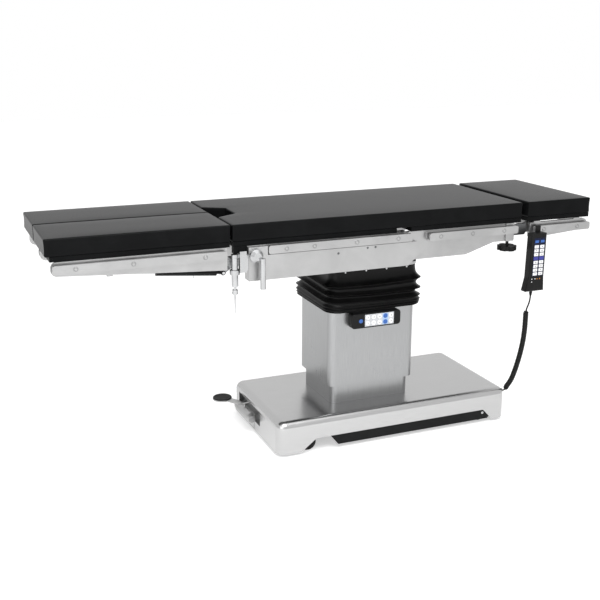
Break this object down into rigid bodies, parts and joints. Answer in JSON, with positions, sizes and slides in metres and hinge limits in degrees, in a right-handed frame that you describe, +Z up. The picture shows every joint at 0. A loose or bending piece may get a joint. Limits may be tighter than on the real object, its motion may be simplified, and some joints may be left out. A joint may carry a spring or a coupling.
{
  "type": "operating table",
  "caption": "Surgical operating table with padded jointed top, split leg plates, side rails, lifting column in bellows, rolling base with floor lock, and corded hand control.",
  "frame": {"origin": "on the floor, below the middle of the table top's length and width", "axes": "+X towards the head end, +Y away from the side with the control panel, +Z up"},
  "size_m": [2.172, 0.642, 0.918],
  "materials": {
    "base_steel": "brushed",
    "column_steel": "satin",
    "chassis_paint": "satin",
    "frame_metal": "satin",
    "bright_steel": "polished",
    "upholstery": "satin",
    "board": "satin",
    "rubber": "matt",
    "black_plastic": "satin",
    "keypad": "satin",
    "tyre": "matt",
    "lock_paint": "satin"
  },
  "bodies": {
    "base": {"base_chassis": "chassis_paint", "base_cover": "base_steel", "lower_sleeve": "base_steel", "lift_cylinder": "bright_steel", "pedal_bracket": "frame_metal", "cord_port": "black_plastic", "handset_cord": "rubber"},
    "floor_lock": {"floor_lock_bars": "lock_paint"},
    "pedal": {"pedal_lever": "frame_metal", "pedal_pad": "rubber"},
    "column": {"column_cover_front": "column_steel", "column_cover_rear": "column_steel", "column_head": "chassis_paint", "panel_housing": "black_plastic", "panel_keypad": "keypad", "bellows_lower": "rubber"},
    "cross": {"tilt_cross": "chassis_paint", "bellows_upper": "rubber"},
    "carrier": {"carrier": "chassis_paint"},
    "seat": {"seat_frame": "frame_metal", "seat_side_covers": "frame_metal", "leg_sockets": "bright_steel", "seat_board": "board", "seat_cushion": "upholstery", "cushion_bend": "upholstery"},
    "back": {"back_frame": "frame_metal", "back_board": "board", "back_cushion": "upholstery", "head_sockets": "black_plastic"},
    "head": {"head_frame": "frame_metal", "head_board": "board", "head_cushion": "upholstery"},
    "handset": {"handset_body": "black_plastic", "handset_keypad": "keypad"},
    "head_knob_near": {"head_knob_near": "black_plastic"},
    "leg_yoke_near": {"leg_yoke_near": "bright_steel"},
    "leg_near": {"leg_frame_near": "frame_metal", "leg_board_near": "board", "leg_cushion_near": "upholstery"},
    "gas_cylinder_near": {"gas_cylinder_near": "lock_paint"},
    "gas_rod_near": {"gas_rod_near": "bright_steel"},
    "clamp_lever_near": {"clamp_lever_near": "bright_steel"},
    "leg_lock_near": {"leg_lock_near": "bright_steel"},
    "head_knob_far": {"head_knob_far": "black_plastic"},
    "leg_yoke_far": {"leg_yoke_far": "bright_steel"},
    "leg_far": {"leg_frame_far": "frame_metal", "leg_board_far": "board", "leg_cushion_far": "upholstery"},
    "gas_cylinder_far": {"gas_cylinder_far": "lock_paint"},
    "gas_rod_far": {"gas_rod_far": "bright_steel"},
    "clamp_lever_far": {"clamp_lever_far": "bright_steel"},
    "leg_lock_far": {"leg_lock_far": "bright_steel"},
    "caster_fork_foot_near": {"caster_fork_foot_near": "lock_paint"},
    "caster_wheel_foot_near": {"caster_wheel_foot_near": "tyre"},
    "caster_fork_foot_far": {"caster_fork_foot_far": "lock_paint"},
    "caster_wheel_foot_far": {"caster_wheel_foot_far": "tyre"},
    "caster_fork_head_near": {"caster_fork_head_near": "lock_paint"},
    "caster_wheel_head_near": {"caster_wheel_head_near": "tyre"},
    "caster_fork_head_far": {"caster_fork_head_far": "lock_paint"},
    "caster_wheel_head_far": {"caster_wheel_head_far": "tyre"}
  },
  "joints": [
    {"name": "lift", "type": "slide", "parent": "base", "child": "column", "axis": [0, 0, 1], "range_m": [-0.07, 0.2], "deforming": ["handset_cord"]},
    {"name": "tilt", "type": "hinge", "parent": "column", "child": "cross", "pos_m": [0.166, 0, 0.612], "axis": [0, -1, 0], "range_deg": [-25, 25], "deforming": ["bellows_lower"]},
    {"name": "lateral_tilt", "type": "hinge", "parent": "cross", "child": "carrier", "pos_m": [0.166, 0, 0.65], "axis": [1, 0, 0], "range_deg": [-15, 15], "deforming": ["bellows_upper"]},
    {"name": "top_slide", "type": "slide", "parent": "carrier", "child": "seat", "axis": [1, 0, 0], "range_m": [0, 0.3]},
    {"name": "back_section", "type": "hinge", "parent": "seat", "child": "back", "pos_m": [0.233, 0, 0.832], "axis": [0, -1, 0], "range_deg": [-15, 75], "deforming": ["cushion_bend"]},
    {"name": "head_section", "type": "hinge", "parent": "back", "child": "head", "pos_m": [0.771, 0, 0.806], "axis": [0, 1, 0], "range_deg": [-12, 90]},
    {"name": "handset_lift", "type": "slide", "parent": "head", "child": "handset", "axis": [0, 0, 1], "range_m": [0, 0.04]},
    {"name": "brake_pedal", "type": "hinge", "parent": "base", "child": "pedal", "pos_m": [-0.294, 0.13, 0.068], "axis": [0, -1, 0], "range_deg": [0, 25]},
    {"name": "floor_lock", "type": "slide", "parent": "base", "child": "floor_lock", "axis": [0, 0, -1], "range_m": [0, 0.0175]},
    {"name": "head_knob_near", "type": "hinge", "parent": "back", "child": "head_knob_near", "pos_m": [0.7025, -0.246, 0.738], "axis": [0, 0, 1], "continuous": true},
    {"name": "leg_spread_near", "type": "hinge", "parent": "seat", "child": "leg_yoke_near", "pos_m": [-0.441, -0.261, 0.778], "axis": [0, 0, 1], "range_deg": [0, 90]},
    {"name": "leg_fold_near", "type": "hinge", "parent": "leg_yoke_near", "child": "leg_near", "pos_m": [-0.51, -0.23, 0.7835], "axis": [0, 1, 0], "range_deg": [-90, 0]},
    {"name": "gas_swing_near", "type": "hinge", "parent": "leg_yoke_near", "child": "gas_cylinder_near", "pos_m": [-0.478, -0.24, 0.745], "axis": [0, 1, 0], "range_deg": [-90, 0]},
    {"name": "gas_stroke_near", "type": "slide", "parent": "gas_cylinder_near", "child": "gas_rod_near", "axis": [0.9957, 0, -0.0926], "range_m": [-0.001, 0.072]},
    {"name": "clamp_lever_near", "type": "hinge", "parent": "seat", "child": "clamp_lever_near", "pos_m": [-0.37, -0.293, 0.806], "axis": [0, -1, 0], "range_deg": [0, 90]},
    {"name": "leg_lock_near", "type": "slide", "parent": "seat", "child": "leg_lock_near", "axis": [0, 0, -1], "range_m": [0, 0.02], "stiffness_N_per_m": 200, "springref_m": -0.01},
    {"name": "head_knob_far", "type": "hinge", "parent": "back", "child": "head_knob_far", "pos_m": [0.7025, 0.246, 0.738], "axis": [0, 0, 1], "continuous": true},
    {"name": "leg_spread_far", "type": "hinge", "parent": "seat", "child": "leg_yoke_far", "pos_m": [-0.441, 0.261, 0.778], "axis": [0, 0, -1], "range_deg": [0, 90]},
    {"name": "leg_fold_far", "type": "hinge", "parent": "leg_yoke_far", "child": "leg_far", "pos_m": [-0.51, 0.23, 0.7835], "axis": [0, 1, 0], "range_deg": [-90, 0]},
    {"name": "gas_swing_far", "type": "hinge", "parent": "leg_yoke_far", "child": "gas_cylinder_far", "pos_m": [-0.478, 0.24, 0.745], "axis": [0, 1, 0], "range_deg": [-90, 0]},
    {"name": "gas_stroke_far", "type": "slide", "parent": "gas_cylinder_far", "child": "gas_rod_far", "axis": [0.9957, 0, -0.0926], "range_m": [-0.001, 0.072]},
    {"name": "clamp_lever_far", "type": "hinge", "parent": "seat", "child": "clamp_lever_far", "pos_m": [-0.37, 0.293, 0.806], "axis": [0, -1, 0], "range_deg": [0, 90]},
    {"name": "leg_lock_far", "type": "slide", "parent": "seat", "child": "leg_lock_far", "axis": [0, 0, -1], "range_m": [0, 0.02], "stiffness_N_per_m": 200, "springref_m": -0.01},
    {"name": "caster_swivel_foot_near", "type": "hinge", "parent": "base", "child": "caster_fork_foot_near", "pos_m": [-0.148, -0.196, 0.07], "axis": [0, 0, 1], "continuous": true},
    {"name": "caster_roll_foot_near", "type": "hinge", "parent": "caster_fork_foot_near", "child": "caster_wheel_foot_near", "pos_m": [-0.14, -0.196, 0.032], "axis": [0, 1, 0], "continuous": true},
    {"name": "caster_swivel_foot_far", "type": "hinge", "parent": "base", "child": "caster_fork_foot_far", "pos_m": [-0.148, 0.196, 0.07], "axis": [0, 0, 1], "continuous": true},
    {"name": "caster_roll_foot_far", "type": "hinge", "parent": "caster_fork_foot_far", "child": "caster_wheel_foot_far", "pos_m": [-0.14, 0.196, 0.032], "axis": [0, 1, 0], "continuous": true},
    {"name": "caster_swivel_head_near", "type": "hinge", "parent": "base", "child": "caster_fork_head_near", "pos_m": [0.626, -0.196, 0.07], "axis": [0, 0, 1], "continuous": true},
    {"name": "caster_roll_head_near", "type": "hinge", "parent": "caster_fork_head_near", "child": "caster_wheel_head_near", "pos_m": [0.634, -0.196, 0.032], "axis": [0, 1, 0], "continuous": true},
    {"name": "caster_swivel_head_far", "type": "hinge", "parent": "base", "child": "caster_fork_head_far", "pos_m": [0.626, 0.196, 0.07], "axis": [0, 0, 1], "continuous": true},
    {"name": "caster_roll_head_far", "type": "hinge", "parent": "caster_fork_head_far", "child": "caster_wheel_head_far", "pos_m": [0.634, 0.196, 0.032], "axis": [0, 1, 0], "continuous": true}
  ],
  "couplings": [
    {"joint": "floor_lock", "follows": "brake_pedal", "m_per_rad": 0.0401},
    {"joint": "gas_swing_near", "follows": "leg_fold_near", "ratio": 1},
    {"joint": "gas_stroke_near", "follows": "leg_fold_near", "m_per_rad": -0.04507},
    {"joint": "gas_swing_far", "follows": "leg_fold_far", "ratio": 1},
    {"joint": "gas_stroke_far", "follows": "leg_fold_far", "m_per_rad": -0.04507}
  ]
}
